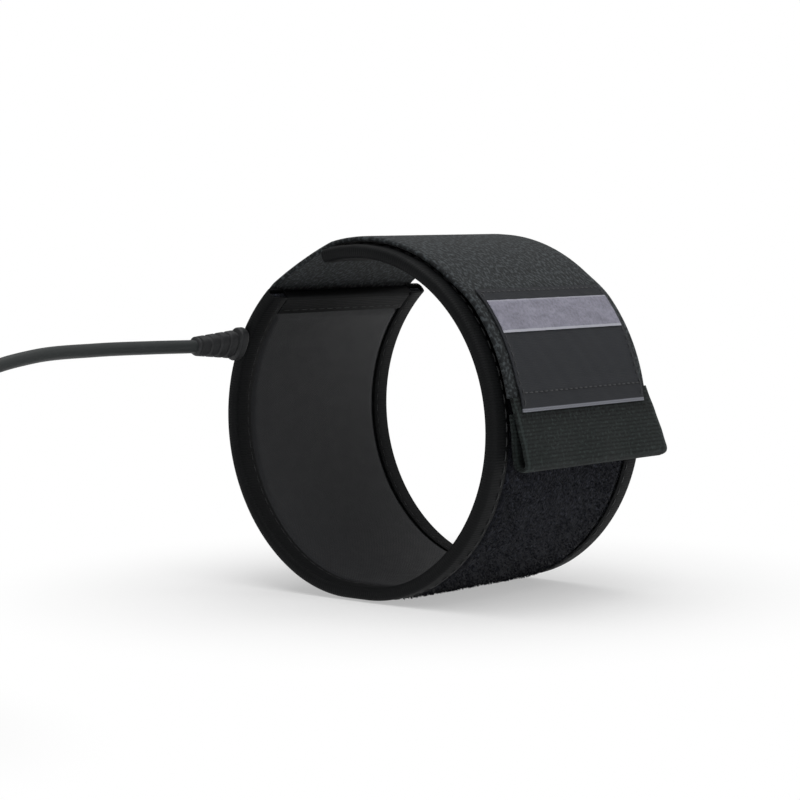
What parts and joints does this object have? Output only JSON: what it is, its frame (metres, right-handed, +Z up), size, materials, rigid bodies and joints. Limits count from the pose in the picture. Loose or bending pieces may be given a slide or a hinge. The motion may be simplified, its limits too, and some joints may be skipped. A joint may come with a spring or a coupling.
{
  "type": "dew heater strip",
  "caption": "Soft heated wrap for a lens barrel, closed in a loop by an elastic strap with hook tape, a label and a pull tab, on a thin lead with a flat power plug.",
  "frame": {"origin": "on the flat spot that the closed strip stands on, straight below the lens axis and halfway across the pad's width", "axes": "+X along the lens axis towards the back of the lens, -Y towards the label, +Z up"},
  "size_m": [0.2559, 0.0956, 0.0859],
  "materials": {
    "loop_pile": "fuzzy purplish black loop pile",
    "lining_cloth": "smooth knitted black lining",
    "film": "amber heater film",
    "element_foil": "etched alloy foil",
    "foam": "grey insulating felt",
    "binding_tape": "smooth woven black binding",
    "solder": "tinned tab",
    "wire_black": "insulated core",
    "wire_red": "insulated core",
    "cutout_case": "sealed case",
    "elastic": "knitted elastic, dark green-grey",
    "hook_nylon": "nylon hook tape",
    "label_weave": "close woven black label",
    "label_print": "soft lavender-grey band",
    "tab_webbing": "ribbed elastic webbing",
    "cord_jacket": "satin black jacket",
    "tie": "black hook-and-loop tie",
    "overmould": "satin black moulding",
    "plug_steel": "nickel-plated steel",
    "plug_insulator": "white insulator",
    "contact_gold": "gold-plated contact"
  },
  "bodies": {
    "root": {"outer_cover": "loop_pile", "inner_lining": "lining_cloth", "heater_film": "film", "heating_element": "element_foil", "insulation_foam": "foam", "front_binding": "binding_tape", "rear_binding": "binding_tape", "near_end_binding": "binding_tape", "far_end_binding": "binding_tape", "solder_tab_negative": "solder", "solder_tab_positive": "solder", "lead_wire_negative": "wire_black", "lead_wire_positive": "wire_red", "thermal_cutout": "cutout_case", "elastic_strap": "elastic", "hook_tape": "hook_nylon", "label": "label_weave", "label_band": "label_print", "pull_tab": "tab_webbing", "cable_strain_relief": "cord_jacket", "cable": "cord_jacket", "cable_coil": "cord_jacket", "cable_tail": "cord_jacket", "coil_tie": "tie", "plug_overmould": "overmould", "plug_shell": "plug_steel", "plug_tongue": "plug_insulator", "plug_contact_1": "contact_gold", "plug_contact_2": "contact_gold", "plug_contact_3": "contact_gold", "plug_contact_4": "contact_gold"}
  },
  "joints": []
}
